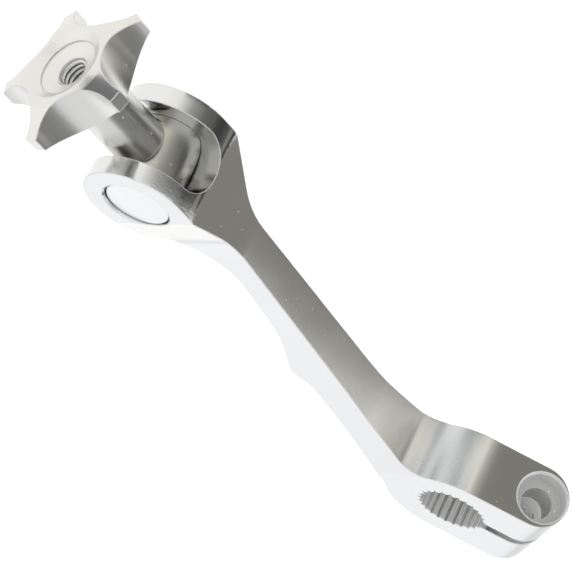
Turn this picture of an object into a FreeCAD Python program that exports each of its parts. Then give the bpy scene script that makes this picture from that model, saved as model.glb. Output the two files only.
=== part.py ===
import FreeCAD, Part
import math
import os

import Sketcher
from FreeCAD import Placement, Rotation, Vector

# Rear brake arm with its barrel pin and star knob, in millimetres.
# Origin: centre of the serrated bore, in the arm's mid plane. +Z runs along the bore,
# +X points to the barrel pin's centre.

# Driving dimensions: name, value in millimetres (degrees for angles), meaning
DIMENSIONS = [
    ("pin_distance", 111.2, "serrated bore centre to ear hole centre"),
    ("fork_width", 20.0, "over both ears"),
    ("slot_width", 12.4, "between the ears"),
    ("slot_root_offset", 1.2, "centre of the slot's round end, past the ear hole's centre"),
    ("ear_radius", 10.6, "outside of each ear"),
    ("ear_hole_radius", 6.5, "hole in each ear"),
    ("clamp_wall", 1.35, "beside the seat of the bolt's head, to each broad face"),
    ("crest_radius", 6.8, "inner radius of the serrations"),
    ("serration_depth", 0.75, "from the crests of the serrations to their roots"),
    ("serration_count", 26, "serrations round the bore"),
    ("serration_half_width", 0.55, "half width of one groove where its sketch starts"),
    ("serration_lead", 0.15, "each groove's sketch starts this far inside the crests"),
    ("slit_angle", 141.0, "from +X to the slit, turning towards -Y"),
    ("slit_width", 2.6, "saw cut through the clamp"),
    ("upper_jaw", 12.2, "bore centre to the jaw face that carries the bolt's head"),
    ("lower_jaw", 12.9, "bore centre to the other jaw face"),
    ("heel_radius", 14.2, "outer round of the clamp behind the bore"),
    ("heel_back", 0.85, "heel round's centre behind the bore, along the slit"),
    ("heel_end_side", 0.2, "inner end of the heel round, across the slit"),
    ("ring_end_inset", 0.8, "round under the bolt head ends this far inside its own back"),
    ("jaw_wall", 0.5, "beyond the seat of the bolt's head, to the end of the jaws"),
    ("bolt_offset", 14.05, "bore centre to the pinch bolt's axis"),
    ("bolt_clearance_radius", 3.3, "clearance hole for an M6 bolt"),
    ("bolt_thread_radius", 2.5, "tapping hole for M6"),
    ("counterbore_radius", 5.15, "seat for the bolt's round head"),
    ("counterbore_depth", 4.4, "depth of the bolt head's seat"),
    ("neck_thickness", 8.8, "neck at the step beside the clamp's taper"),
    ("waist_thickness", 7.8, "neck at its thinnest, beside the fork"),
    ("taper_start", 45.0, "bore centre to where the clamp's taper ends"),
    ("taper_radius", 250.0, "long hollow from the clamp down to the neck"),
    ("land_inset", 1.3, "full width ends this far inside the edge of the ear hole"),
    ("ramp_length", 11.0, "straight ramp from the fork down to its hollow"),
    ("ramp_angle", 20.8, "slope of the ramp"),
    ("ramp_radius", 30.0, "hollow between the ramp and the waist"),
    ("ring_fillet", 6.0, "between the neck and the round under the bolt head"),
    ("heel_fillet", 10.0, "between the neck and the heel round"),
    ("ear_fillet", 6.0, "between the fork's shoulder and the ear"),
    ("counterbore_chamfer", 0.4, "rim of the bolt head's seat"),
    ("bore_chamfer", 0.35, "mouths of the ear holes"),
    ("pin_clearance", 0.08, "barrel pin's radius below the ear hole's"),
    ("pin_recess", 0.6, "pin end below the ear's face"),
    ("pin_chamfer", 0.3, "ends of the pin"),
    ("seat_radius", 5.5, "spot face on the pin under the knob"),
    ("rod_hole_radius", 3.3, "cross hole for an M6 brake rod"),
    ("seat_depth", 0.72, "the knob's seat below the round of the pin"),
    ("rod_seat_depth", 1.02, "flat where the rod comes in, below the round of the pin"),
    ("shank_radius", 5.1, "knob's shank"),
    ("knob_thread_radius", 2.5, "tapping hole for M6 in the knob"),
    ("knob_foot", 18.9, "pin centre to where the shank meets the head"),
    ("tip_radius", 15.3, "over the lobes of the knob"),
    ("tip_inner", 24.5, "pin centre to the inner edge of a lobe's tip"),
    ("tip_width", 3.0, "along the knob's axis, over a lobe's tip"),
    ("face_rise", 2.05, "from the tips to where the knob's face breaks to its cone"),
    ("shoulder_radius", 9.8, "where the knob's face breaks to its cone"),
    ("rim_rise", 0.3, "from that break to the rim of the recess"),
    ("rim_wall", 0.8, "between the rim of the recess and the hollows"),
    ("ring_inset", 1.75, "inner ring of the recess inside its rim"),
    ("ring_drop", 1.15, "from the rim down to the inner ring"),
    ("ring_step", 0.35, "step down inside the inner ring"),
    ("mouth_radius", 3.2, "mouth of the knob's thread"),
    ("mouth_drop", 0.85, "from that step down to the mouth"),
    ("lobe_count", 5, "lobes of the knob"),
    ("lobe_clock", 68.0, "first lobe, turned about the knob's axis from +Z"),
    ("scallop_radius", 8.9, "hollow between two lobes"),
    ("scallop_bottom", 8.4, "knob axis to the bottom of each hollow"),
]

# Corners of the neck's outline: distance from the bore, back from the ear hole or on from
# another corner, then height in Y (from the low or top edge of the ear where the base says
# so) and the radius that rounds the corner
NECK_CORNERS = [
    ("flare_foot", "ear low", 4.0, 0.0, 8.0),
    ("flare_top", "ear", 21.0, -5.3, 40.0),
    ("clamp_side", "bore", 30.5, 2.4, 40.0),
    ("ring_inside", "bore", 8.0, 2.65, None),
    ("heel_inside", "bore", 5.0, 11.9, None),
    ("bump_foot", "bore", 42.3, 9.4, 6.0),
    ("bump_top", "bump_foot", 4.5, 11.3, 3.0),
    ("bump_fall", "bump_top", 13.2, 4.9, 30.0),
    ("waist_low", "ear", 30.7, 1.4, 14.0),
    ("shoulder_foot", "shoulder_top", -2.4, 7.3, 3.0),
    ("shoulder_top", "ear", 15.0, 12.6, 3.0),
    ("ear_join", "ear top", 4.7, -1.6, None),
]


class Term:
    """A length that carries both its number and its expression in the sheet."""

    def __init__(self, number, text):
        self.number = float(number)
        self.text = text

    def __add__(self, other):
        other = as_term(other)
        return Term(self.number + other.number, "(%s + %s)" % (self.text, other.text))

    def __sub__(self, other):
        other = as_term(other)
        return Term(self.number - other.number, "(%s - %s)" % (self.text, other.text))

    def __mul__(self, factor):
        return Term(self.number * factor, "%s * %s" % (self.text, factor))

    def __truediv__(self, factor):
        return Term(self.number / factor, "%s / %s" % (self.text, factor))

    def __neg__(self):
        return Term(-self.number, "-(%s)" % self.text)


def as_term(value):
    """Lets a bare number stand where a term is expected."""
    return value if isinstance(value, Term) else Term(value, "%s" % value)


class Sizes:
    """The driving dimensions, each an attribute named like its cell."""


doc = FreeCAD.newDocument("brake_arm")
sheet = doc.addObject("Spreadsheet::Sheet", "dims")
size = Sizes()
cells = [(name, value) for name, value, meaning in DIMENSIONS]
for corner_name, base_name, along, height, rounding in NECK_CORNERS:
    cells += [(corner_name + "_along", along), (corner_name + "_height", height)]
    if rounding:
        cells.append((corner_name + "_round", rounding))
for row, (cell_name, cell_value) in enumerate(cells, start=1):
    sheet.set("A%d" % row, cell_name)
    sheet.set("B%d" % row, str(cell_value))
    sheet.setAlias("B%d" % row, cell_name)
    setattr(size, cell_name, Term(cell_value, "dims." + cell_name))
doc.recompute()

# Sizes that follow from the ones above
size.clamp_thickness = (size.counterbore_radius + size.clamp_wall) * 2
size.jaw_length = size.bolt_offset + size.counterbore_radius + size.jaw_wall
size.fork_land = size.ear_hole_radius - size.land_inset
size.pin_radius = size.ear_hole_radius - size.pin_clearance
size.root_radius = size.crest_radius + size.serration_depth
size.ring_end_back = size.upper_jaw - size.ring_end_inset
size.seat_height = size.pin_radius - size.seat_depth
size.rod_seat_height = size.pin_radius - size.rod_seat_depth
size.tip_outer = size.tip_inner + size.tip_width
size.shoulder_height = size.tip_outer + size.face_rise
size.rim_height = size.shoulder_height + size.rim_rise
size.ring_height = size.rim_height - size.ring_drop
size.mouth_height = size.ring_height - size.ring_step - size.mouth_drop
size.rim_radius = size.scallop_bottom - size.rim_wall
size.ring_radius = size.rim_radius - size.ring_inset
size.scallop_centre = size.scallop_bottom + size.scallop_radius

ZERO = Term(0, "0")
ORIGIN = (-1, 1)
UP = Vector(0, 0, 1)
QUARTER_TURN = 90
# A corner that turns less than this, in radians, is as good as straight and isn't rounded
FLAT_TURN = 0.1


def add_body(name):
    """Starts a sub-part whose label is its file's name."""
    body = doc.addObject("PartDesign::Body", name)
    body.Label = name
    return body


def origin_item(body, role):
    """One of the body's own origin planes or axes."""
    for item in body.Origin.OriginFeatures:
        if item.Role == role:
            return item
    raise ValueError(role)


def add_sketch(body, name, role, turn_about=None, turn=ZERO):
    """A sketch on one of the body's origin planes, turned in that plane's own frame if asked."""
    sketch = body.newObject("Sketcher::SketchObject", name)
    sketch.AttachmentSupport = [(origin_item(body, role), "")]
    sketch.MapMode = "FlatFace"
    if turn_about:
        sketch.AttachmentOffset = Placement(Vector(0, 0, 0), Rotation(turn_about, turn.number))
        sketch.setExpression("AttachmentOffset.Rotation.Angle", turn.text)
    return sketch


def bind(sketch, kind, first, second, term):
    """A signed distance between two points, bound to the sheet."""
    if abs(term.number) < 1e-9:
        align = "Vertical" if kind == "DistanceX" else "Horizontal"
        sketch.addConstraint(Sketcher.Constraint(align, *first, *second))
        return
    if term.number < 0:
        first, second, term = second, first, -term
    index = sketch.addConstraint(Sketcher.Constraint(kind, *first, *second, term.number))
    sketch.setExpression("Constraints[%d]" % index, term.text)


def place(sketch, point, spot, base=ORIGIN):
    """Puts a point at a distance from a base point, both ways bound to the sheet."""
    bind(sketch, "DistanceX", base, point, spot[0])
    bind(sketch, "DistanceY", base, point, spot[1])


def bind_radius(sketch, geometry, term):
    """A circle's or arc's radius, bound to the sheet."""
    index = sketch.addConstraint(Sketcher.Constraint("Radius", geometry, term.number))
    sketch.setExpression("Constraints[%d]" % index, term.text)


def add_circle(sketch, radius, spot=(ZERO, ZERO)):
    """A circle with its centre and radius bound to the sheet."""
    centre = Vector(spot[0].number, spot[1].number, 0)
    circle = sketch.addGeometry(Part.Circle(centre, UP, radius.number))
    place(sketch, (circle, 3), spot)
    bind_radius(sketch, circle, radius)
    return circle


def close_outline(sketch, pieces, smooth=()):
    """Joins each piece's end to the next one's start, smoothly after those named."""
    for piece, following in zip(pieces, pieces[1:] + pieces[:1]):
        kind = "Tangent" if piece in smooth else "Coincident"
        sketch.addConstraint(Sketcher.Constraint(kind, piece, 2, following, 1))


def add_polygon(sketch, corners):
    """A closed outline of straight lines whose corners are bound to the sheet."""
    spots = [Vector(x.number, y.number, 0) for x, y in corners]
    pairs = zip(spots, spots[1:] + spots[:1])
    lines = [sketch.addGeometry(Part.LineSegment(start, end)) for start, end in pairs]
    close_outline(sketch, lines)
    for line, corner in zip(lines, corners):
        place(sketch, (line, 1), corner)
    return lines


def add_arc(sketch, centre, radius, start, end):
    """An arc turning left from start to end, both in degrees."""
    circle = Part.Circle(Vector(centre[0], centre[1], 0), UP, radius)
    return sketch.addGeometry(Part.ArcOfCircle(circle, math.radians(start), math.radians(end)))


def add_feature(body, kind, name, sketch, **settings):
    """A pad, pocket, revolution or groove made from a sketch."""
    if sketch.solve() != 0:
        raise ValueError(sketch.Name + " has clashing or missing constraints")
    feature = body.newObject("PartDesign::" + kind, name)
    feature.Profile = sketch
    for setting, value in settings.items():
        setattr(feature, setting, value)
    doc.recompute()
    return feature


def add_pad(body, name, sketch, length):
    """A pad that grows both ways from its sketch."""
    pad = add_feature(body, "Pad", name, sketch, Midplane=True, Length=length.number)
    pad.setExpression("Length", length.text)
    return pad


def add_pocket(body, name, sketch, length=None):
    """A pocket that cuts both ways from its sketch, right through unless a length is given."""
    before = body.Shape.Volume
    if length is None:
        pocket = add_feature(body, "Pocket", name, sketch, Type=1, Midplane=True)
    else:
        pocket = add_feature(body, "Pocket", name, sketch, Midplane=True, Length=length.number)
        pocket.setExpression("Length", length.text)
    doc.recompute()
    if not body.Shape.Volume < before - 0.1:
        raise ValueError(name + " cuts nothing")
    return pocket


def line_meets_round(start, end, centre, radius):
    """Where a line from start first meets a circle in the plan."""
    run = (end[0] - start[0], end[1] - start[1])
    away = (start[0] - centre[0], start[1] - centre[1])
    square = run[0] ** 2 + run[1] ** 2
    half_linear = run[0] * away[0] + run[1] * away[1]
    rest = away[0] ** 2 + away[1] ** 2 - radius ** 2
    share = (-half_linear - math.sqrt(half_linear ** 2 - square * rest)) / square
    return start[0] + run[0] * share, start[1] + run[1] * share


def from_slit(along, across):
    """Turns a place given along and across the slit into the part's own axes."""
    turn = math.radians(-size.slit_angle.number)
    return (along * math.cos(turn) - across * math.sin(turn),
            along * math.sin(turn) + across * math.cos(turn))


def upright_edges(shape, spot, reach=0.4):
    """Names of the edges along Z that stand at one place of the plan."""
    names = []
    for index, edge in enumerate(shape.Edges):
        if len(edge.Vertexes) != 2:
            continue
        low, high = (vertex.Point for vertex in edge.Vertexes)
        leans = math.hypot(low.x - high.x, low.y - high.y) > 1e-4
        if leans or abs(low.z - high.z) < 1.0:
            continue
        if math.hypot(low.x - spot[0], low.y - spot[1]) < reach:
            names.append("Edge%d" % (index + 1))
    return names


def add_dressing(body, kind, name, amount, edges):
    """A fillet or chamfer on edges of the body's last feature."""
    if not edges:
        raise ValueError("no edge for " + name)
    base = body.Tip
    dressing = body.newObject("PartDesign::" + kind, name)
    dressing.Base = (base, edges)
    if kind == "Fillet":
        dressing.Radius = amount.number
        dressing.setExpression("Radius", amount.text)
    else:
        dressing.Size = amount.number
        dressing.setExpression("Size", amount.text)
    doc.recompute()
    if "Invalid" in dressing.State:
        raise ValueError(name + " can't be made")
    return dressing


def round_rims(shape, centre, direction, radius, offset):
    """Names of the round edges of one radius that stand at a distance along an axis."""
    names = []
    for index, edge in enumerate(shape.Edges):
        if not isinstance(edge.Curve, Part.Circle):
            continue
        away = edge.Curve.Center - centre
        fits = abs(edge.Curve.Radius - radius.number) < 0.001
        stands = abs(abs(away.dot(direction)) - offset.number) < 0.001
        if fits and stands and away.cross(direction).Length < 0.001:
            names.append("Edge%d" % (index + 1))
    return names


def add_pattern(body, name, feature, axis_role, count):
    """Repeats a feature evenly round one of the body's axes."""
    pattern = body.newObject("PartDesign::PolarPattern", name)
    pattern.Originals = [feature]
    pattern.Axis = (origin_item(body, axis_role), [""])
    pattern.Angle = 360
    pattern.Occurrences = int(count.number)
    pattern.setExpression("Occurrences", count.text)
    body.Tip = pattern
    doc.recompute()
    return pattern


def corner_spot(entry):
    """Where a corner of the neck's outline lies."""
    corner_name, base_name, along, height, rounding = entry
    across = getattr(size, corner_name + "_along")
    rise = getattr(size, corner_name + "_height")
    if base_name in ("ear", "ear low", "ear top"):
        across = size.pin_distance - across
    elif base_name != "bore":
        base = next(other for other in NECK_CORNERS if other[0] == base_name)
        across = corner_spot(base)[0] + across
    if base_name == "ear low":
        rise = rise - size.ear_radius
    elif base_name == "ear top":
        rise = size.ear_radius + rise
    return across, rise


def turn_at(before, corner, after):
    """How sharply an outline turns at a corner, in radians."""
    inward = math.atan2(corner[1] - before[1], corner[0] - before[0])
    outward = math.atan2(after[1] - corner[1], after[0] - corner[0])
    return abs(math.remainder(outward - inward, 2 * math.pi))


def clamp_outline(plan):
    """The clamp's outline in the slit's own axes: x runs from the bore along the slit."""
    ring = size.upper_jaw.number
    back = size.ring_end_back.number
    ring_end = Vector(-back, math.sqrt(ring ** 2 - back ** 2), 0)
    heel = size.heel_radius.number
    heel_x = -size.heel_back.number
    heel_y = heel - size.lower_jaw.number
    rise = -size.heel_end_side.number - heel_y
    heel_end = Vector(heel_x - math.sqrt(heel ** 2 - rise ** 2), heel_y + rise, 0)
    top_right = Vector(size.jaw_length.number, ring, 0)
    low_left = Vector(heel_x, heel_y - heel, 0)
    low_right = Vector(size.jaw_length.number, heel_y - heel, 0)
    ring_turn = math.degrees(math.atan2(ring_end.y, ring_end.x))
    heel_turn = math.degrees(math.atan2(rise, heel_end.x - heel_x))
    top = plan.addGeometry(Part.LineSegment(top_right, Vector(0, ring, 0)))
    ring_arc = add_arc(plan, (0, 0), ring, 90, ring_turn)
    inside = plan.addGeometry(Part.LineSegment(ring_end, heel_end))
    heel_arc = add_arc(plan, (heel_x, heel_y), heel, heel_turn, 270)
    low = plan.addGeometry(Part.LineSegment(low_left, low_right))
    jaw_end = plan.addGeometry(Part.LineSegment(low_right, top_right))
    close_outline(plan, [top, ring_arc, inside, heel_arc, low, jaw_end])
    place(plan, (top, 1), (size.jaw_length, size.upper_jaw))
    place(plan, (top, 2), (ZERO, size.upper_jaw))
    place(plan, (ring_arc, 3), (ZERO, ZERO))
    bind(plan, "DistanceX", ORIGIN, (ring_arc, 2), -size.ring_end_back)
    place(plan, (heel_arc, 3), (-size.heel_back, size.heel_radius - size.lower_jaw))
    bind_radius(plan, heel_arc, size.heel_radius)
    bind(plan, "DistanceY", ORIGIN, (heel_arc, 1), -size.heel_end_side)
    bind(plan, "DistanceX", ORIGIN, (heel_arc, 2), -size.heel_back)
    plan.addConstraint(Sketcher.Constraint("Horizontal", low))
    plan.addConstraint(Sketcher.Constraint("Vertical", jaw_end))


def side_waste(side):
    """What is milled off above the arm, seen from the side: taper, waist, hollow and ramp."""
    clear = size.fork_width
    half_clamp = size.clamp_thickness.number / 2
    half_neck = size.neck_thickness.number / 2
    half_waist = size.waist_thickness.number / 2
    half_fork = size.fork_width.number / 2
    taper = size.taper_radius.number
    ramp = math.radians(size.ramp_angle.number)
    hollow = size.ramp_radius.number
    start = size.taper_start.number
    land = size.pin_distance.number - size.fork_land.number
    taper_lean = math.acos(1 - (half_clamp - half_neck) / taper)
    taper_foot = Vector(start - taper * math.sin(taper_lean), half_clamp, 0)
    taper_end = Vector(start, half_neck, 0)
    ramp_low = Vector(land - size.ramp_length.number * math.cos(ramp),
                      half_fork - size.ramp_length.number * math.sin(ramp), 0)
    hollow_centre = ramp_low + Vector(-math.sin(ramp), math.cos(ramp), 0) * hollow
    hollow_end = Vector(hollow_centre.x, hollow_centre.y - hollow, 0)
    far_left = Vector(-clear.number * 2, half_clamp, 0)
    top_left = Vector(-clear.number * 2, clear.number, 0)
    top_right = Vector(land, clear.number, 0)
    ramp_top = Vector(land, half_fork, 0)
    flat = side.addGeometry(Part.LineSegment(far_left, taper_foot))
    taper_arc = add_arc(side, (start, half_neck + taper), taper,
                        270 - math.degrees(taper_lean), 270)
    waist = side.addGeometry(Part.LineSegment(taper_end, hollow_end))
    hollow_arc = add_arc(side, hollow_centre, hollow, 270, 270 + size.ramp_angle.number)
    slope = side.addGeometry(Part.LineSegment(ramp_low, ramp_top))
    wall = side.addGeometry(Part.LineSegment(ramp_top, top_right))
    roof = side.addGeometry(Part.LineSegment(top_right, top_left))
    back = side.addGeometry(Part.LineSegment(top_left, far_left))
    chain = [flat, taper_arc, waist, hollow_arc, slope, wall, roof, back]
    close_outline(side, chain, smooth=[hollow_arc])
    place(side, (flat, 1), (-clear * 2, size.clamp_thickness / 2))
    bind(side, "DistanceY", ORIGIN, (flat, 2), size.clamp_thickness / 2)
    bind(side, "DistanceX", ORIGIN, (taper_arc, 3), size.taper_start)
    bind_radius(side, taper_arc, size.taper_radius)
    place(side, (taper_arc, 2), (size.taper_start, size.neck_thickness / 2))
    bind(side, "DistanceY", ORIGIN, (hollow_arc, 1), size.waist_thickness / 2)
    bind_radius(side, hollow_arc, size.ramp_radius)
    side.addConstraint(Sketcher.Constraint("Vertical", hollow_arc, 3, hollow_arc, 1))
    place(side, (slope, 2), (size.pin_distance - size.fork_land, size.fork_width / 2))
    length = side.addConstraint(Sketcher.Constraint("Distance", slope, size.ramp_length.number))
    side.setExpression("Constraints[%d]" % length, size.ramp_length.text)
    side.addConstraint(Sketcher.Constraint("Vertical", wall))
    side.addConstraint(Sketcher.Constraint("Horizontal", roof))
    place(side, (back, 1), (-clear * 2, clear))


def slot_outline(side):
    """The slot between the ears, milled right through from the side with a full round end."""
    half = size.slot_width.number / 2
    centre = (size.pin_distance + size.slot_root_offset).number
    mouth = centre + 2 * size.ear_radius.number
    root_arc = add_arc(side, (centre, 0), half, 90, 270)
    low = side.addGeometry(Part.LineSegment(Vector(centre, -half, 0), Vector(mouth, -half, 0)))
    front = side.addGeometry(Part.LineSegment(Vector(mouth, -half, 0), Vector(mouth, half, 0)))
    high = side.addGeometry(Part.LineSegment(Vector(mouth, half, 0), Vector(centre, half, 0)))
    close_outline(side, [root_arc, low, front, high])
    root = size.pin_distance + size.slot_root_offset
    place(side, (root_arc, 3), (root, ZERO))
    place(side, (root_arc, 2), (root, -size.slot_width / 2))
    bind(side, "DistanceX", ORIGIN, (root_arc, 1), root)
    side.addConstraint(Sketcher.Constraint("Horizontal", low))
    side.addConstraint(Sketcher.Constraint("Horizontal", high))
    side.addConstraint(Sketcher.Constraint("Vertical", front))
    bind(side, "DistanceX", ORIGIN, (front, 1), root + size.ear_radius * 2)


def bullnose_waste(side):
    """What is milled off round the end of the jaws, seen along the bolt."""
    nose = size.clamp_thickness.number / 2
    centre = size.jaw_length.number - nose
    far = centre + 2 * nose
    nose_arc = add_arc(side, (centre, 0), nose, 270, 450)
    points = [(centre, nose), (centre, 2 * nose), (far, 2 * nose), (far, -2 * nose),
              (centre, -2 * nose), (centre, -nose)]
    spots = [Vector(x, y, 0) for x, y in points]
    lines = [side.addGeometry(Part.LineSegment(a, b)) for a, b in zip(spots, spots[1:])]
    close_outline(side, [nose_arc] + lines)
    radius = size.clamp_thickness / 2
    middle = size.jaw_length - radius
    reach = size.jaw_length + radius
    place(side, (nose_arc, 3), (middle, ZERO))
    place(side, (nose_arc, 1), (middle, -radius))
    bind(side, "DistanceX", ORIGIN, (nose_arc, 2), middle)
    place(side, (lines[1], 1), (middle, size.clamp_thickness))
    place(side, (lines[2], 1), (reach, size.clamp_thickness))
    place(side, (lines[3], 1), (reach, -size.clamp_thickness))
    place(side, (lines[4], 1), (middle, -size.clamp_thickness))


def build_arm():
    """One billet: split serrated clamp, curved neck, and a fork with two ears."""
    body = add_body("arm")
    slit_turn = -size.slit_angle
    middle = (size.pin_distance, ZERO)

    plan = add_sketch(body, "ear_plan", "XY_Plane")
    add_circle(plan, size.ear_radius, middle)
    add_pad(body, "ear_pad", plan, size.fork_width)
    plan = add_sketch(body, "neck_plan", "XY_Plane")
    corners = [(size.pin_distance, -size.ear_radius)]
    corners += [corner_spot(entry) for entry in NECK_CORNERS]
    corners.append(middle)
    add_polygon(plan, corners)
    add_pad(body, "neck_pad", plan, size.fork_width)
    plan = add_sketch(body, "clamp_plan", "XY_Plane", UP, slit_turn)
    clamp_outline(plan)
    add_pad(body, "clamp_pad", plan, size.fork_width)

    # Rounded corners of the outline, then the hollow corners where rounds meet the neck
    outline = [(across.number, rise.number) for across, rise in corners]
    spots = {}
    for entry, before, spot, after in zip(NECK_CORNERS, outline, outline[1:], outline[2:]):
        spots[entry[0]] = spot
        if entry[4] and turn_at(before, spot, after) > FLAT_TURN:
            edges = upright_edges(body.Shape, spot)
            radius = getattr(size, entry[0] + "_round")
            add_dressing(body, "Fillet", entry[0] + "_fillet", radius, edges)
    heel_centre = from_slit(-size.heel_back.number, (size.heel_radius - size.lower_jaw).number)
    pin_centre = (size.pin_distance.number, 0)
    for name, start, end, centre, radius in (
            ("ring_fillet", "clamp_side", "ring_inside", (0, 0), size.upper_jaw),
            ("heel_fillet", "bump_foot", "heel_inside", heel_centre, size.heel_radius),
            ("ear_fillet", "shoulder_top", "ear_join", pin_centre, size.ear_radius)):
        spot = line_meets_round(spots[start], spots[end], centre, radius.number)
        add_dressing(body, "Fillet", name, getattr(size, name), upright_edges(body.Shape, spot))

    side = add_sketch(body, "side_waste", "XZ_Plane")
    side_waste(side)
    cut = add_pocket(body, "side_pocket", side)
    mirror = body.newObject("PartDesign::Mirrored", "side_mirror")
    mirror.Originals = [cut]
    mirror.MirrorPlane = (origin_item(body, "XY_Plane"), [""])
    body.Tip = mirror
    doc.recompute()
    side = add_sketch(body, "bullnose_waste", "XZ_Plane", Vector(0, 1, 0), slit_turn)
    bullnose_waste(side)
    add_pocket(body, "bullnose_pocket", side)

    side = add_sketch(body, "slot_side", "XZ_Plane")
    slot_outline(side)
    add_pocket(body, "slot_pocket", side)
    plan = add_sketch(body, "ear_hole_plan", "XY_Plane")
    add_circle(plan, size.ear_hole_radius, middle)
    add_pocket(body, "ear_hole_pocket", plan)
    rims = round_rims(body.Shape, Vector(*pin_centre, 0), UP, size.ear_hole_radius,
                      size.fork_width / 2)
    add_dressing(body, "Chamfer", "ear_hole_chamfer", size.bore_chamfer, rims)

    cut_pinch_hole(body)
    plan = add_sketch(body, "bore_plan", "XY_Plane")
    add_circle(plan, size.crest_radius)
    add_pocket(body, "bore_pocket", plan)
    plan = add_sketch(body, "serration_plan", "XY_Plane", UP, slit_turn)
    mouth = size.crest_radius - size.serration_lead
    add_polygon(plan, [(mouth, size.serration_half_width), (mouth, -size.serration_half_width),
                       (size.root_radius, ZERO)])
    groove = add_pocket(body, "serration_pocket", plan)
    add_pattern(body, "serrations", groove, "Z_Axis", size.serration_count)
    plan = add_sketch(body, "slit_plan", "XY_Plane", UP, slit_turn)
    half_slit = size.slit_width / 2
    beyond = size.jaw_length + size.slit_width
    add_polygon(plan, [(ZERO, half_slit), (ZERO, -half_slit), (beyond, -half_slit),
                       (beyond, half_slit)])
    add_pocket(body, "slit_pocket", plan)
    return body


def cut_pinch_hole(body):
    """The pinch bolt's hole: seat and clearance above the slit, tapped below it."""
    plan = add_sketch(body, "bolt_hole_section", "XY_Plane", UP, -size.slit_angle)
    seat = size.upper_jaw - size.counterbore_depth
    top = size.upper_jaw + size.slit_width
    foot = -(size.lower_jaw + size.slit_width)
    steps = [(ZERO, top), (size.counterbore_radius, top), (size.counterbore_radius, seat),
             (size.bolt_clearance_radius, seat), (size.bolt_clearance_radius, ZERO),
             (size.bolt_thread_radius, ZERO), (size.bolt_thread_radius, foot), (ZERO, foot)]
    add_polygon(plan, [(size.bolt_offset + out, up) for out, up in steps])
    axis_line = Part.LineSegment(Vector(size.bolt_offset.number, 0, 0),
                                 Vector(size.bolt_offset.number, size.upper_jaw.number, 0))
    axis = plan.addGeometry(axis_line, True)
    place(plan, (axis, 1), (size.bolt_offset, ZERO))
    place(plan, (axis, 2), (size.bolt_offset, size.upper_jaw))
    add_feature(body, "Groove", "bolt_hole", plan, ReferenceAxis=(plan, ["Axis0"]), Angle=360)
    start = Vector(*from_slit(size.bolt_offset.number, 0), 0)
    rims = round_rims(body.Shape, start, Vector(*from_slit(0, 1), 0), size.counterbore_radius,
                      size.upper_jaw)
    add_dressing(body, "Chamfer", "counterbore_rim", size.counterbore_chamfer, rims)


def build_trunnion():
    """The barrel pin: turned, cross drilled for the rod, with a flat at each end of the hole."""
    body = add_body("trunnion")
    plan = add_sketch(body, "pin_plan", "XY_Plane")
    add_circle(plan, size.pin_radius)
    pin_length = size.fork_width - size.pin_recess * 2
    add_pad(body, "pin_pad", plan, pin_length)
    rims = round_rims(body.Shape, Vector(0, 0, 0), UP, size.pin_radius, pin_length / 2)
    add_dressing(body, "Chamfer", "pin_ends", size.pin_chamfer, rims)
    face = add_sketch(body, "rod_hole_plan", "YZ_Plane")
    add_circle(face, size.rod_hole_radius)
    add_pocket(body, "rod_hole_pocket", face)
    for name, height, outward in (("seat", size.seat_height, True),
                                  ("rod_seat", -size.rod_seat_height, False)):
        face = add_sketch(body, name + "_plan", "YZ_Plane")
        face.AttachmentOffset = Placement(Vector(0, 0, height.number), Rotation())
        face.setExpression("AttachmentOffset.Base.z", height.text)
        add_circle(face, size.seat_radius)
        before = body.Shape.Volume
        add_feature(body, "Pocket", name + "_pocket", face, Type=1, Reversed=outward)
        if not body.Shape.Volume < before - 0.1:
            raise ValueError(name + "_pocket cuts nothing")
    place_on_pin_axis(body)
    return body


def place_on_pin_axis(body):
    """Sets a body's origin on the ear hole's axis."""
    body.Placement = Placement(Vector(size.pin_distance.number, 0, 0), Rotation())
    body.setExpression("Placement.Base.x", size.pin_distance.text)


def build_star_knob():
    """The adjuster knob: five lobes, a dished end and a plain shank that bears on the pin."""
    body = add_body("star_knob")
    section = add_sketch(body, "knob_section", "XY_Plane")
    thread_end = size.mouth_height - (size.mouth_radius - size.knob_thread_radius)
    add_polygon(section, [
        (size.seat_height, size.knob_thread_radius),
        (size.seat_height, size.shank_radius),
        (size.knob_foot, size.shank_radius),
        (size.tip_inner, size.tip_radius),
        (size.tip_outer, size.tip_radius),
        (size.shoulder_height, size.shoulder_radius),
        (size.rim_height, size.rim_radius),
        (size.ring_height, size.ring_radius),
        (size.ring_height - size.ring_step, size.ring_radius),
        (size.mouth_height, size.mouth_radius),
        (thread_end, size.knob_thread_radius)])
    axis = (origin_item(body, "X_Axis"), [""])
    add_feature(body, "Revolution", "knob_turning", section, ReferenceAxis=axis, Angle=360)
    half_pitch = Term(180 / size.lobe_count.number, "180 / " + size.lobe_count.text)
    turn = size.lobe_clock + QUARTER_TURN + half_pitch
    face = add_sketch(body, "scallop_plan", "YZ_Plane", UP, turn)
    add_circle(face, size.scallop_radius, (size.scallop_centre, ZERO))
    hollow = add_pocket(body, "scallop_pocket", face)
    add_pattern(body, "scallops", hollow, "X_Axis", size.lobe_count)
    place_on_pin_axis(body)
    return body


arm = build_arm()
trunnion = build_trunnion()
star_knob = build_star_knob()
doc.recompute()
for item in doc.Objects:
    if "Invalid" in item.State or "Error" in item.State:
        raise ValueError(item.Name + " is in a bad state")
os.makedirs("parts", exist_ok=True)
for body in (arm, trunnion, star_knob):
    if body.Shape.isNull() or not body.Shape.isValid() or len(body.Shape.Solids) != 1:
        raise ValueError(body.Label + " isn't one sound solid")
    body.Shape.exportStep("parts/%s.step" % body.Label)
    print(body.Label, "written")
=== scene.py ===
"""Looks of a clamp-on brake arm: finishes, broken edges, threads, cards, lamps and camera."""

import math

import bmesh
import bpy
from bpy.props import FloatProperty, FloatVectorProperty, PointerProperty
from mathutils import Matrix, Vector


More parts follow.
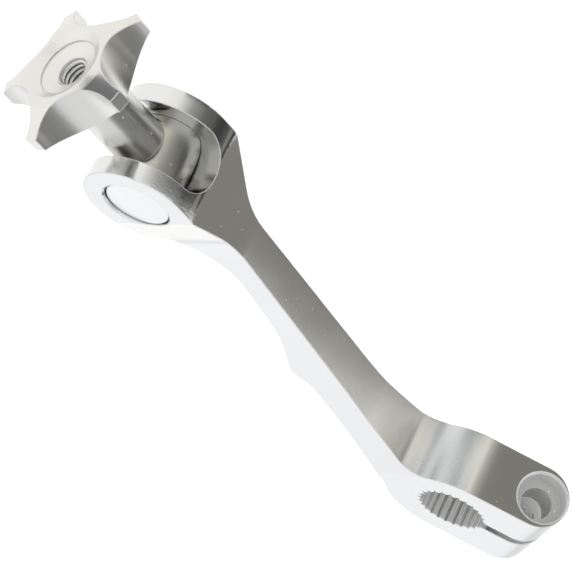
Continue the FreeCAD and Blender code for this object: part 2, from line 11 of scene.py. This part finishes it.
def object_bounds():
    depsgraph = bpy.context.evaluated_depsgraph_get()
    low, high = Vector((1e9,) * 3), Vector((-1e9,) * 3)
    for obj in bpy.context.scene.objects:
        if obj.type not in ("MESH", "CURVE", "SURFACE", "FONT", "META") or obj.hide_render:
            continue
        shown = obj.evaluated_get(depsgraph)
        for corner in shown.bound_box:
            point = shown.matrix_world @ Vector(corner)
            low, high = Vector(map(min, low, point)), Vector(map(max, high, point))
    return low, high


bl_info = {
    "name": "Brake Arm Looks",
    "version": (1, 0, 0),
    "blender": (4, 5, 0),
    "location": "3D View > Sidebar > Brake Arm",
    "description": "Finishes, broken edges, threads and stage of a clamp-on brake arm",
    "category": "Object",
}

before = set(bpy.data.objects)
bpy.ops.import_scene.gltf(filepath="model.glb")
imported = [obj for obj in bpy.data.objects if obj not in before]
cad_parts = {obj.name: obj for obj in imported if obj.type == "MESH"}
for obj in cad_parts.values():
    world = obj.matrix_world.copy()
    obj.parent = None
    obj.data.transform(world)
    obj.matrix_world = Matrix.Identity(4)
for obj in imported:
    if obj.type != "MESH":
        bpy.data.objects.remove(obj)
cad_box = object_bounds()
MM = 0.001

# The slit's direction and the bolt's distance from the bore's middle, as in the solid
SLIT_ANGLE = math.radians(-141)
BOLT_OFFSET = 14.05 * MM

# Radii a little past each hole's wall, inside which it gets its finish
BORE_RADIUS = 8.4 * MM
BOLT_SEAT_RADIUS = 5.6 * MM
BOLT_THREAD_RADIUS = 3.4 * MM
KNOB_THREAD_RADIUS = 3.0 * MM

# Pitch of the M6 threads of the bolt and the brake rod
THREAD_PITCH = 1.0 * MM

# The stretch along X in which the clamp's dull surface clears, and the heights on each side of
# the middle between which the pin's greyer barrel turns into its lighter end
DULL_STRETCH = (40 * MM, 95 * MM)
BARREL_ENDS = (8.9 * MM, 9.2 * MM)

# Tumbling leaves a grain that is finer than a pixel, so it is drawn as coarse as it needs to show
GRAIN_SIZE = 0.45 * MM
GRAIN_DEPTH = 0.1 * MM
GRAIN_STRENGTH = 0.1
GRAIN_DETAIL = 3.0

# Patches a little duller and a little brighter than the rest
CLOUD_SIZE = 9 * MM
CLOUD_DETAIL = 2.0
CLOUD_RANGE = (0.3, 0.7)
CLOUD_SPREAD = 0.12

# Bright marks. An edge's line starts and is full at these cosines of its rounding. A speck's rim
# and its full part are shares of the gap between specks
# The edge's bright line is a painted highlight
EDGE_TURN = (0.985, 0.92)
EDGE_SHARE = 0.9
SPECK_GAP = 3.2 * MM
SPECK_RIM = (0.075, 0.045)
SPECK_SHARE = 0.55

# Frosted metal, which also draws the painted highlight along the edges, and how much of it lies
# in a thread and in the broached bore
FROST_AND_HIGHLIGHT_COLOUR = "#f4f4f2"
FROST_AND_HIGHLIGHT_ROUGHNESS = 0.5
THREAD_FROST = 0.62
BORE_FROST = 0.45

# Painted shade: a dark coat in the corners and along the joints, from where a corner starts to
# close to where it is deep
CORNER_SHADE_COLOUR = "#2b2a26"
CORNER_SHADE_ROUGHNESS = 0.7
CORNER_SHADE_REACH = 0.8 * MM
CORNER_SHADE_SPAN = (0.45, 0.15)

# Rays by which a finish feels its edges and its corners
FEELER_RAYS = 6

# The floor lies just below the sweep of the knob's lobes. Its sides are in metres
FLOOR_HEIGHT = -15.4 * MM
FLOOR_SIDES = (6, 6)
PAPER_COLOUR = "#f0f0f0"
WORLD_COLOUR = "#fafbff"

# Cards are in millimetres. The lying ones are below the floor, which no reflection shows
HIGH_CARDS = -15.6
LOW_CARDS = -30

# Lying cards: name, colour, level, height and corners. They are the white below all, the bend's
# warm side, the pale patches of the bend and the fork, the neck's long grey band, and a faint
# tint on the far ear's rim
LYING_CARDS = (
    ("white_board", "#ffffff", 1.15, LOW_CARDS - 1,
     ((-1500, -1500), (1500, -1500), (1500, 1500), (-1500, 1500))),
    ("cream_card", "#fffdf4", 1.0, LOW_CARDS,
     ((-70, -30), (-70, -110), (66, -110), (66, -30))),
    ("pale_blue_card", "#f2f9fd", 0.82, LOW_CARDS,
     ((66, -60), (106, -60), (106, 25), (66, 25))),
    ("warm_grey_card", "#fffdf5", 0.27, LOW_CARDS + 0.1,
     ((-31, -36), (-22, -43), (-8, -48), (30, -50), (46, -42), (66, -28), (66, -8), (14, -5),
      (-40, -12), (-40, -25))),
    ("brown_card", "#f6dcd0", 0.42, HIGH_CARDS,
     ((106, 4), (120, 4), (120, 14), (106, 14))),
)

# Cards cut from a ring round the pin: name, colour, level, height, both radii and the angles.
# They are the dark line down the knob's shank, and the dark of the knob's right hollow
RING_CENTRE = (111.2, 0)
RING_CARDS = (
    ("dark_band_card", "#fffffa", 0.1, HIGH_CARDS, 73, 230, range(-140, -109, 6)),
    ("hollow_card", "#fffffa", 0.08, HIGH_CARDS + 0.1, 13, 22.5, range(-80, -33, 8)),
)

# Standing cards: name, colour, level, start and end on the plan, foot and top. They are the
# facet under the knob's mouth, the bright arc in its dish and the grey sides of its lobes. The
# last two are for the sides that the photo doesn't show
STANDING_CARDS = (
    ("blue_grey_card", "#f3f6ff", 0.2, (146, -18), (146, -4), 0.8, 9),
    ("bright_window_card", "#ffffff", 1.2, (380, -20), (230, 280), -28, 210),
    ("standing_flag", "#fffffa", 0.2, (-115, -192), (41, -300), -30, 275),
    ("back_flag", "#fffffa", 0.16, (-400, 150), (-400, -190), -30, 190),
    ("side_flag", "#fbfdff", 0.16, (150, 400), (20, 400), -30, 240),
)

# The fan below the fork: each stop is an angle in degrees and its level
FAN_COLOUR = "#fffffa"
FAN_CENTRE = (114.5, -5.5)
FAN_INSIDE = 12
FAN_OUTSIDE = 64
FAN_ANGLES = range(-152, 3, 14)
FAN_GLOW = 1.3
FAN_LEVELS = ((-180, 0.19), (-160, 0.19), (-155, 0.03), (-147, 0.03), (-142, 0.2),
              (-136, 0.2), (-132, 0.04), (-124, 0.05), (-112, 0.1), (-90, 0.13),
              (-60, 0.3), (-45, 0.52), (-28, 0.8), (5, 0.9))

# The card beside the upper jaw: its distance from the bore's middle, its span along the slit and
# its heights, and the stretch in which it fades from light to dark
JAW_COLOUR = "#fffdf2"
JAW_CARD_OUT = 17
JAW_CARD_SPAN = (-1, 24)
JAW_CARD_HEIGHTS = (-12.5, 8)
JAW_FADE = (-1.0, 3.2)
JAW_LIGHT = 1.0
JAW_DARK = 0.26

# Soft lamps: name, direction from the object, distance and sides in metres
LAMPS = (
    ("key_softbox", Vector((-0.63, 0.664, 0.402)), 0.7, (0.6, 0.5)),
    ("top_softbox", Vector((0.1, -0.1, 1)), 0.8, (0.7, 0.7)),
)

# Camera: its place and the directions of its right and down in the object's frame
CAMERA_PLACE = Vector((0.450909, -0.402926, 0.242017))
CAMERA_RIGHT = Vector((-0.5343, -0.7465, -0.397))
CAMERA_DOWN = Vector((-0.5633, -0.0353, 0.825))
CAMERA_REACH = (0.01, 20)
SENSOR_WIDTH = 36.0


def to_linear(code):
    """Linear red, green, blue and alpha of an sRGB hex colour."""
    parts = [int(code[i : i + 2], 16) / 255 for i in (1, 3, 5)]
    spread = [p / 12.92 if p <= 0.04045 else ((p + 0.055) / 1.055) ** 2.4 for p in parts]
    return (*spread, 1.0)


def add_node(tree, kind, inputs=None, **settings):
    """Adds a node. An input takes a value, a socket, or a node for its first output."""
    node = tree.nodes.new(kind)
    for name, value in settings.items():
        setattr(node, name, value)
    for key, value in (inputs or {}).items():
        source = value.outputs[0] if isinstance(value, bpy.types.Node) else value
        if isinstance(source, bpy.types.NodeSocket):
            tree.links.new(source, node.inputs[key])
        else:
            node.inputs[key].default_value = source
    return node


def new_material(name):
    """An empty node material of that name."""
    material = bpy.data.materials.new(name)
    material.use_nodes = True
    material.node_tree.nodes.clear()
    return material


def distance_from_axis(tree, place, across):
    """Distance from an axis through the origin, across being 1 in its other directions."""
    flat = add_node(tree, "ShaderNodeVectorMath", {0: place, 1: across},
                    operation="MULTIPLY")
    reach = add_node(tree, "ShaderNodeVectorMath", {0: flat}, operation="LENGTH")
    return reach.outputs["Value"]


def cloudy_roughness(tree, place, roughness):
    """Roughness that comes and goes in soft patches."""
    cloud = add_node(tree, "ShaderNodeTexNoise",
                     {"Vector": place, "Scale": 1 / CLOUD_SIZE, "Detail": CLOUD_DETAIL})
    low, high = CLOUD_RANGE
    return add_node(tree, "ShaderNodeMapRange",
                    {"Value": cloud, "From Min": low, "From Max": high,
                     "To Min": roughness * (1 - CLOUD_SPREAD),
                     "To Max": roughness * (1 + CLOUD_SPREAD)})


def grained_normal(tree, place, rounded):
    """Fine grain from tumbling, on edges that are already rounded."""
    grain = add_node(tree, "ShaderNodeTexNoise",
                     {"Vector": place, "Scale": 1 / GRAIN_SIZE, "Detail": GRAIN_DETAIL})
    return add_node(tree, "ShaderNodeBump",
                    {"Height": grain, "Normal": rounded, "Strength": GRAIN_STRENGTH,
                     "Distance": GRAIN_DEPTH})


def edge_highlight_and_specks(tree, place, rounded):
    """Broken edges as a thin painted highlight, and tiny bright pits every few millimetres."""
    plain = add_node(tree, "ShaderNodeNewGeometry")
    agree = add_node(tree, "ShaderNodeVectorMath",
                     {0: rounded, 1: plain.outputs["Normal"]}, operation="DOT_PRODUCT")
    start, full = EDGE_TURN
    edge = add_node(tree, "ShaderNodeMapRange",
                    {"Value": agree.outputs["Value"], "From Min": start, "From Max": full})
    cells = add_node(tree, "ShaderNodeTexVoronoi", {"Vector": place, "Scale": 1 / SPECK_GAP})
    start, full = SPECK_RIM
    specks = add_node(tree, "ShaderNodeMapRange",
                      {"Value": cells.outputs["Distance"], "From Min": start,
                       "From Max": full, "To Max": SPECK_SHARE})
    return add_node(tree, "ShaderNodeMath", {0: edge, 1: specks}, operation="MAXIMUM")


def start_aluminium(name, colour, roughness, edge_width):
    """Machined 6000 series aluminium, tumbled: a bright satin grey with fine grain."""
    material = new_material(name)
    tree = material.node_tree
    place = add_node(tree, "ShaderNodeTexCoord").outputs["Object"]
    rounded = add_node(tree, "ShaderNodeBevel", {"Radius": edge_width}, samples=FEELER_RAYS)
    return {
        "material": material,
        "tree": tree,
        "place": place,
        "colour": tuple(colour),
        "roughness": cloudy_roughness(tree, place, roughness),
        "normal": grained_normal(tree, place, rounded),
        "bright": edge_highlight_and_specks(tree, place, rounded),
    }


def frost_inside(finish, distance, radius, frost):
    """Frosts the metal where the distance is less than the radius."""
    tree = finish["tree"]
    inside = add_node(tree, "ShaderNodeMath", {0: distance, 1: radius},
                      operation="LESS_THAN")
    finish["bright"] = add_node(tree, "ShaderNodeMath",
                                {0: inside, 1: frost, 2: finish["bright"]},
                                operation="MULTIPLY_ADD", use_clamp=True)


def broach_bore(finish):
    """The serrated bore is left rougher than the outside."""
    distance = distance_from_axis(finish["tree"], finish["place"], (1, 1, 0))
    frost_inside(finish, distance, BORE_RADIUS, BORE_FROST)


def thread_height(tree, place, distance, radius):
    """Height of a thread's turns round X, inside a radius."""
    split = add_node(tree, "ShaderNodeSeparateXYZ", {0: place})
    angle = add_node(tree, "ShaderNodeMath", {0: split.outputs["Z"], 1: split.outputs["Y"]},
                     operation="ARCTAN2")
    part_turn = add_node(tree, "ShaderNodeMath", {0: angle, 1: math.tau},
                         operation="DIVIDE")
    turns = add_node(tree, "ShaderNodeMath",
                     {0: split.outputs["X"], 1: 1 / THREAD_PITCH, 2: part_turn},
                     operation="MULTIPLY_ADD")
    wave = add_node(tree, "ShaderNodeMath", {0: turns, 1: 0.5}, operation="PINGPONG")
    inside = add_node(tree, "ShaderNodeMath", {0: distance, 1: radius},
                      operation="LESS_THAN")
    return add_node(tree, "ShaderNodeMath", {0: wave, 1: inside}, operation="MULTIPLY")


def cut_thread(finish, origin, turn, radius, frosted_radius):
    """Bright turns down the wall of a hole, and frosted metal out to its own radius."""
    tree = finish["tree"]
    place = add_node(tree, "ShaderNodeMapping",
                     {"Vector": finish["place"], "Location": origin,
                      "Rotation": (0, 0, turn)}, vector_type="TEXTURE")
    distance = distance_from_axis(tree, place, (0, 1, 1))
    frost_inside(finish, distance, frosted_radius, THREAD_FROST)
    finish["normal"] = add_node(tree, "ShaderNodeBump",
                                {"Height": thread_height(tree, place, distance, radius),
                                 "Normal": finish["normal"], "Strength": 1.0,
                                 "Distance": THREAD_PITCH})


def dull_clamp(finish, amount):
    """The clamp's end is duller than the fork's ears."""
    tree = finish["tree"]
    split = add_node(tree, "ShaderNodeSeparateXYZ", {0: finish["place"]})
    start, end = DULL_STRETCH
    more = add_node(tree, "ShaderNodeMapRange",
                    {"Value": split.outputs["X"], "From Min": start, "From Max": end,
                     "To Min": amount, "To Max": 0.0})
    finish["roughness"] = add_node(tree, "ShaderNodeMath",
                                   {0: finish["roughness"], 1: more}, operation="ADD")


def grey_barrel_middle(finish, colour):
    """The barrel between the ears is greyer than its ends."""
    tree = finish["tree"]
    split = add_node(tree, "ShaderNodeSeparateXYZ", {0: finish["place"]})
    height = add_node(tree, "ShaderNodeMath", {0: split.outputs["Z"]},
                      operation="ABSOLUTE")
    start, end = BARREL_ENDS
    lighter = add_node(tree, "ShaderNodeMapRange",
                     {"Value": height, "From Min": start, "From Max": end})
    finish["colour"] = add_node(tree, "ShaderNodeMixRGB",
                                {"Fac": lighter, "Color1": tuple(colour),
                                 "Color2": finish["colour"]})


def painted_corner_shade(tree, metal):
    """Metal with painted shade, a dark coat in its corners and along its joints."""
    near = add_node(tree, "ShaderNodeAmbientOcclusion", {"Distance": CORNER_SHADE_REACH},
                    samples=FEELER_RAYS)
    start, deep = CORNER_SHADE_SPAN
    share = add_node(tree, "ShaderNodeMapRange",
                     {"Value": near.outputs["AO"], "From Min": start, "From Max": deep})
    # Painted shade: this dark coat darkens the corners and joints
    dark_coat = add_node(tree, "ShaderNodeBsdfPrincipled",
                    {"Base Color": to_linear(CORNER_SHADE_COLOUR), "Roughness": CORNER_SHADE_ROUGHNESS})
    return add_node(tree, "ShaderNodeMixShader", {0: share, 1: metal, 2: dark_coat})


def end_aluminium(finish):
    """The material, its polished metal, its frosted metal that also draws the painted edge
    highlight, and its painted corner shade joined together.
    """
    tree = finish["tree"]
    polished = add_node(tree, "ShaderNodeBsdfPrincipled",
                        {"Base Color": finish["colour"], "Metallic": 1.0,
                         "Roughness": finish["roughness"], "Normal": finish["normal"]})
    # Frosted metal, which along the edges is the painted highlight
    frosted = add_node(tree, "ShaderNodeBsdfPrincipled",
                       {"Base Color": to_linear(FROST_AND_HIGHLIGHT_COLOUR), "Metallic": 0.0,
                        "Roughness": FROST_AND_HIGHLIGHT_ROUGHNESS, "Normal": finish["normal"]})
    share = add_node(tree, "ShaderNodeMath", {0: finish["bright"], 1: EDGE_SHARE},
                     operation="MULTIPLY")
    metal = add_node(tree, "ShaderNodeMixShader", {0: share, 1: polished, 2: frosted})
    add_node(tree, "ShaderNodeOutputMaterial", {"Surface": painted_corner_shade(tree, metal)})
    return finish["material"]


def arm_machined_aluminium(finishes):
    """The arm: glossy satin that dulls to the clamp, a rough bore and a threaded hole."""
    finish = start_aluminium("arm_machined_aluminium", finishes.arm_colour,
                             finishes.arm_roughness, finishes.edge_break)
    bolt_place = Matrix.Rotation(SLIT_ANGLE, 3, "Z") @ Vector((BOLT_OFFSET, 0, 0))
    bolt_turn = SLIT_ANGLE + math.radians(90)
    broach_bore(finish)
    cut_thread(finish, bolt_place, bolt_turn, BOLT_THREAD_RADIUS, BOLT_SEAT_RADIUS)
    dull_clamp(finish, finishes.clamp_dulling)
    return end_aluminium(finish)


def pin_turned_aluminium(finishes):
    """The pin: soft satin with bright ends and a greyer barrel."""
    finish = start_aluminium("pin_turned_aluminium", finishes.pin_colour,
                             finishes.pin_roughness, finishes.edge_break)
    grey_barrel_middle(finish, finishes.barrel_colour)
    return end_aluminium(finish)


def knob_machined_aluminium(finishes):
    """The knob: soft satin, and bright thread turns down its mouth."""
    finish = start_aluminium("knob_machined_aluminium", finishes.knob_colour,
                             finishes.knob_roughness, finishes.edge_break)
    cut_thread(finish, (0, 0, 0), 0, KNOB_THREAD_RADIUS, KNOB_THREAD_RADIUS)
    return end_aluminium(finish)


def dress_node(name, material):
    """Gives a solid its finish."""
    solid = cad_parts[name]
    solid.data.materials.clear()
    solid.data.materials.append(material)
    for face in solid.data.polygons:
        face.use_smooth = True


class BrakeArmFinishes(bpy.types.PropertyGroup):
    """Colours and surface of the machined pieces."""

    edge_break: FloatProperty(
        name="Edge Break", description="Radius of the broken edges", default=0.35 * MM,
        min=0, subtype="DISTANCE", unit="LENGTH")
    arm_colour: FloatVectorProperty(
        name="Arm Colour", description="Colour of the arm's metal",
        default=to_linear("#dddddb"), size=4, min=0, max=1, subtype="COLOR")
    arm_roughness: FloatProperty(
        name="Arm Roughness", description="Roughness of the arm's satin surface",
        default=0.13, min=0, max=1, subtype="FACTOR")
    clamp_dulling: FloatProperty(
        name="Clamp Dulling", description="Roughness added towards the clamp",
        default=0.13, min=0, max=1, subtype="FACTOR")
    pin_colour: FloatVectorProperty(
        name="Pin Colour", description="Colour of the pin's clean ends",
        default=to_linear("#e6e6e4"), size=4, min=0, max=1, subtype="COLOR")
    barrel_colour: FloatVectorProperty(
        name="Barrel Colour", description="Colour of the pin between the ears",
        default=to_linear("#c2c1ba"), size=4, min=0, max=1, subtype="COLOR")
    pin_roughness: FloatProperty(
        name="Pin Roughness", description="Roughness of the turned pin", default=0.3,
        min=0, max=1, subtype="FACTOR")
    knob_colour: FloatVectorProperty(
        name="Knob Colour", description="Colour of the knob's metal",
        default=to_linear("#dcdbd6"), size=4, min=0, max=1, subtype="COLOR")
    knob_roughness: FloatProperty(
        name="Knob Roughness", description="Roughness of the milled knob", default=0.3,
        min=0, max=1, subtype="FACTOR")


class BrakeArmStage(bpy.types.PropertyGroup):
    """Lamps, floor and camera."""

    lens: FloatProperty(name="Lens", description="Focal length in millimetres",
                        default=200.09, min=1, unit="CAMERA")
    world_level: FloatProperty(name="World Level", description="Light all round",
                               default=0.95, min=0)
    key_power: FloatProperty(name="Key Power", description="Power of each soft lamp",
                             default=0.25, min=0, unit="POWER")
    paper_glow: FloatProperty(name="Paper Glow", description="Lifts the paper to white",
                              default=0.6, min=0)


class BRAKEARM_OT_dress_arm(bpy.types.Operator):
    """Finish the clamp arm"""

    bl_idname = "brakearm.dress_arm"
    bl_label = "Dress Arm"

    def execute(self, context):
        dress_node("arm", arm_machined_aluminium(context.scene.brake_arm_finishes))
        return {"FINISHED"}


class BRAKEARM_OT_dress_pin(bpy.types.Operator):
    """Finish the barrel pin"""

    bl_idname = "brakearm.dress_pin"
    bl_label = "Dress Pin"

    def execute(self, context):
        dress_node("trunnion", pin_turned_aluminium(context.scene.brake_arm_finishes))
        return {"FINISHED"}


class BRAKEARM_OT_dress_knob(bpy.types.Operator):
    """Finish the star knob"""

    bl_idname = "brakearm.dress_knob"
    bl_label = "Dress Knob"

    def execute(self, context):
        dress_node("star_knob", knob_machined_aluminium(context.scene.brake_arm_finishes))
        return {"FINISHED"}


def add_sheet(name, corners, material):
    """A flat sheet through its corners, in metres."""
    mesh = bpy.data.meshes.new(name)
    work = bmesh.new()
    work.faces.new([work.verts.new(corner) for corner in corners])
    work.to_mesh(mesh)
    work.free()
    sheet = bpy.data.objects.new(name, mesh)
    sheet.data.materials.append(material)
    bpy.context.scene.collection.objects.link(sheet)
    return sheet


def white_sweep_paper(lift):
    """Matt white studio paper: pure white, and the object's soft shadow shows on it."""
    material = new_material("white_sweep_paper")
    tree = material.node_tree
    path = add_node(tree, "ShaderNodeLightPath")
    seen = add_node(tree, "ShaderNodeMath",
                    {0: path.outputs["Is Camera Ray"], 1: path.outputs["Is Glossy Ray"]},
                    operation="MAXIMUM")
    seen = add_node(tree, "ShaderNodeMath",
                    {0: seen, 1: path.outputs["Is Transmission Ray"]},
                    operation="MAXIMUM")
    paper = add_node(tree, "ShaderNodeBsdfDiffuse", {"Color": to_linear(PAPER_COLOUR)})
    glow = add_node(tree, "ShaderNodeEmission", {"Strength": lift})
    lifted = add_node(tree, "ShaderNodeAddShader", {0: paper, 1: glow})
    mixed = add_node(tree, "ShaderNodeMixShader", {0: seen, 1: paper, 2: lifted})
    add_node(tree, "ShaderNodeOutputMaterial", {"Surface": mixed})
    return material


def even_card(name, colour, level):
    """The even glow of a matt studio card."""
    material = new_material(name)
    tree = material.node_tree
    glow = add_node(tree, "ShaderNodeEmission",
                    {"Color": to_linear(colour), "Strength": level})
    add_node(tree, "ShaderNodeOutputMaterial", {"Surface": glow})
    return material


def faded_jaw_card():
    """The jaw's card: light at one side, and even from the end of the fade onwards."""
    material = new_material("jaw_card")
    tree = material.node_tree
    place = add_node(tree, "ShaderNodeTexCoord").outputs["Object"]
    slit = (math.cos(SLIT_ANGLE), math.sin(SLIT_ANGLE), 0)
    along = add_node(tree, "ShaderNodeVectorMath", {0: place, 1: slit},
                     operation="DOT_PRODUCT")
    start, end = JAW_FADE
    level = add_node(tree, "ShaderNodeMapRange",
                     {"Value": along.outputs["Value"], "From Min": start * MM,
                      "From Max": end * MM, "To Min": JAW_LIGHT, "To Max": JAW_DARK},
                     interpolation_type="SMOOTHSTEP")
    glow = add_node(tree, "ShaderNodeEmission",
                    {"Color": to_linear(JAW_COLOUR), "Strength": level})
    add_node(tree, "ShaderNodeOutputMaterial", {"Surface": glow})
    return material


def graded_fork_card():
    """The fan's card, shaded round its centre from stop to stop."""
    material = new_material("graded_fork_card")
    tree = material.node_tree
    place = add_node(tree, "ShaderNodeTexCoord").outputs["Object"]
    round_way = add_node(tree, "ShaderNodeTexGradient", {"Vector": place},
                         gradient_type="RADIAL")
    ramp = add_node(tree, "ShaderNodeValToRGB", {"Fac": round_way.outputs["Fac"]})
    stops = ramp.color_ramp.elements
    while len(stops) < len(FAN_LEVELS):
        stops.new(0.5)
    for stop, (angle, level) in zip(stops, FAN_LEVELS):
        stop.position = (angle + 180) / 360
        stop.color = (level, level, level, 1)
    tint = add_node(tree, "ShaderNodeMixRGB",
                    {"Fac": 1.0, "Color1": ramp, "Color2": to_linear(FAN_COLOUR)},
                    blend_type="MULTIPLY")
    glow = add_node(tree, "ShaderNodeEmission", {"Color": tint, "Strength": FAN_GLOW})
    add_node(tree, "ShaderNodeOutputMaterial", {"Surface": glow})
    return material


def lying(height, corners):
    """Corners of a card that lies flat."""
    return [(x, y, height) for x, y in corners]


def standing(start, end, low, high):
    """Corners of a card that stands on a line of the plan."""
    return [(*start, low), (*end, low), (*end, high), (*start, high)]


def beside_jaw(span, heights):
    """Corners of a card that stands along the upper jaw's flat side."""
    turn = Matrix.Rotation(SLIT_ANGLE, 3, "Z")
    ends = [(turn @ Vector((along, JAW_CARD_OUT, 0))).xy for along in span]
    return standing(*ends, *heights)


def sector(inside, outside, angles):
    """Outline of a ring's sector: out along its wide round, back along the small one."""
    ring = [(outside, angle) for angle in angles]
    ring += [(inside, angle) for angle in reversed(angles)]
    return [(out * math.cos(math.radians(angle)), out * math.sin(math.radians(angle)))
            for out, angle in ring]


def hang_card(material, corners, centre=(0, 0)):
    """A card that only reflections see, its corners in millimetres from its centre."""
    card = add_sheet(material.name, [Vector(corner) * MM for corner in corners], material)
    card.location = (centre[0] * MM, centre[1] * MM, 0)
    card.visible_camera = False
    card.visible_diffuse = False
    card.visible_shadow = False
    card.visible_transmission = False


class BRAKEARM_OT_hang_cards(bpy.types.Operator):
    """Hang the cards that the polished metal reflects"""

    bl_idname = "brakearm.hang_cards"
    bl_label = "Hang Cards"

    def execute(self, context):
        for name, colour, level, height, corners in LYING_CARDS:
            hang_card(even_card(name, colour, level), lying(height, corners))
        for name, colour, level, height, inside, outside, angles in RING_CARDS:
            corners = lying(height, sector(inside, outside, angles))
            hang_card(even_card(name, colour, level), corners, RING_CENTRE)
        for name, colour, level, *place in STANDING_CARDS:
            hang_card(even_card(name, colour, level), standing(*place))
        fan = lying(HIGH_CARDS, sector(FAN_INSIDE, FAN_OUTSIDE, FAN_ANGLES))
        hang_card(graded_fork_card(), fan, FAN_CENTRE)
        hang_card(faded_jaw_card(), beside_jaw(JAW_CARD_SPAN, JAW_CARD_HEIGHTS))
        return {"FINISHED"}


def lay_floor(middle, lift):
    """The white paper under the object, which the polished metal doesn't reflect."""
    half_long, half_wide = (side / 2 for side in FLOOR_SIDES)
    corners = [(middle.x + half_long * a, middle.y + half_wide * b, FLOOR_HEIGHT)
               for a, b in ((-1, -1), (1, -1), (1, 1), (-1, 1))]
    floor = add_sheet("floor", corners, white_sweep_paper(lift))
    floor.visible_glossy = False


def add_soft_lamp(name, direction, distance, sides, power, aim):
    """An area lamp that looks at a point from a direction."""
    data = bpy.data.lights.new(name, "AREA")
    data.shape = "RECTANGLE"
    data.size, data.size_y = sides
    data.energy = power
    lamp = bpy.data.objects.new(name, data)
    lamp.location = aim + direction.normalized() * distance
    lamp.rotation_euler = (-direction).to_track_quat("-Z", "Y").to_euler()
    bpy.context.scene.collection.objects.link(lamp)


def white_world(scene, level):
    """Even white light from all sides."""
    world = bpy.data.worlds.new("studio_white")
    world.use_nodes = True
    backdrop = world.node_tree.nodes["Background"]
    backdrop.inputs["Color"].default_value = to_linear(WORLD_COLOUR)
    backdrop.inputs["Strength"].default_value = level
    scene.world = world


def place_camera(scene, lens):
    """The camera at the photo's angle."""
    data = bpy.data.cameras.new("camera")
    data.lens = lens
    data.sensor_width = SENSOR_WIDTH
    data.clip_start, data.clip_end = CAMERA_REACH
    camera = bpy.data.objects.new("camera", data)
    down = CAMERA_DOWN.normalized()
    right = (CAMERA_RIGHT - down * CAMERA_RIGHT.dot(down)).normalized()
    turn = Matrix((right, -down, right.cross(-down))).transposed().to_4x4()
    camera.matrix_world = Matrix.Translation(CAMERA_PLACE) @ turn
    scene.collection.objects.link(camera)
    scene.camera = camera


class BRAKEARM_OT_set_stage(bpy.types.Operator):
    """Lay the floor, hang the lamps and place the camera"""

    bl_idname = "brakearm.set_stage"
    bl_label = "Set Stage"

    def execute(self, context):
        scene = context.scene
        stage = scene.brake_arm_stage
        middle = (cad_box[0] + cad_box[1]) / 2
        lay_floor(middle, stage.paper_glow)
        for name, direction, distance, sides in LAMPS:
            add_soft_lamp(name, direction, distance, sides, stage.key_power, middle)
        white_world(scene, stage.world_level)
        place_camera(scene, stage.lens)
        scene.view_settings.view_transform = "Standard"
        return {"FINISHED"}


class BRAKEARM_PT_looks(bpy.types.Panel):
    """Buttons for the brake arm's looks."""

    bl_label = "Brake Arm"
    bl_idname = "BRAKEARM_PT_looks"
    bl_space_type = "VIEW_3D"
    bl_region_type = "UI"
    bl_category = "Brake Arm"

    def draw(self, context):
        for group in (context.scene.brake_arm_finishes, context.scene.brake_arm_stage):
            for name in group.__annotations__:
                self.layout.prop(group, name)
        for operator in OPERATORS:
            self.layout.operator(operator.bl_idname)


OPERATORS = (
    BRAKEARM_OT_dress_arm,
    BRAKEARM_OT_dress_pin,
    BRAKEARM_OT_dress_knob,
    BRAKEARM_OT_hang_cards,
    BRAKEARM_OT_set_stage,
)
GROUPS = (BrakeArmFinishes, BrakeArmStage)
CLASSES = GROUPS + OPERATORS + (BRAKEARM_PT_looks,)


def register():
    """Adds the panel, the operators and their settings."""
    for kind in CLASSES:
        bpy.utils.register_class(kind)
    bpy.types.Scene.brake_arm_finishes = PointerProperty(type=BrakeArmFinishes)
    bpy.types.Scene.brake_arm_stage = PointerProperty(type=BrakeArmStage)


def unregister():
    """Takes them away again."""
    del bpy.types.Scene.brake_arm_stage
    del bpy.types.Scene.brake_arm_finishes
    for kind in reversed(CLASSES):
        bpy.utils.unregister_class(kind)


def main():
    """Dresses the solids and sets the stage."""
    register()
    bpy.ops.brakearm.dress_arm()
    bpy.ops.brakearm.dress_pin()
    bpy.ops.brakearm.dress_knob()
    bpy.ops.brakearm.hang_cards()
    bpy.ops.brakearm.set_stage()


if __name__ == "__main__":
    main()
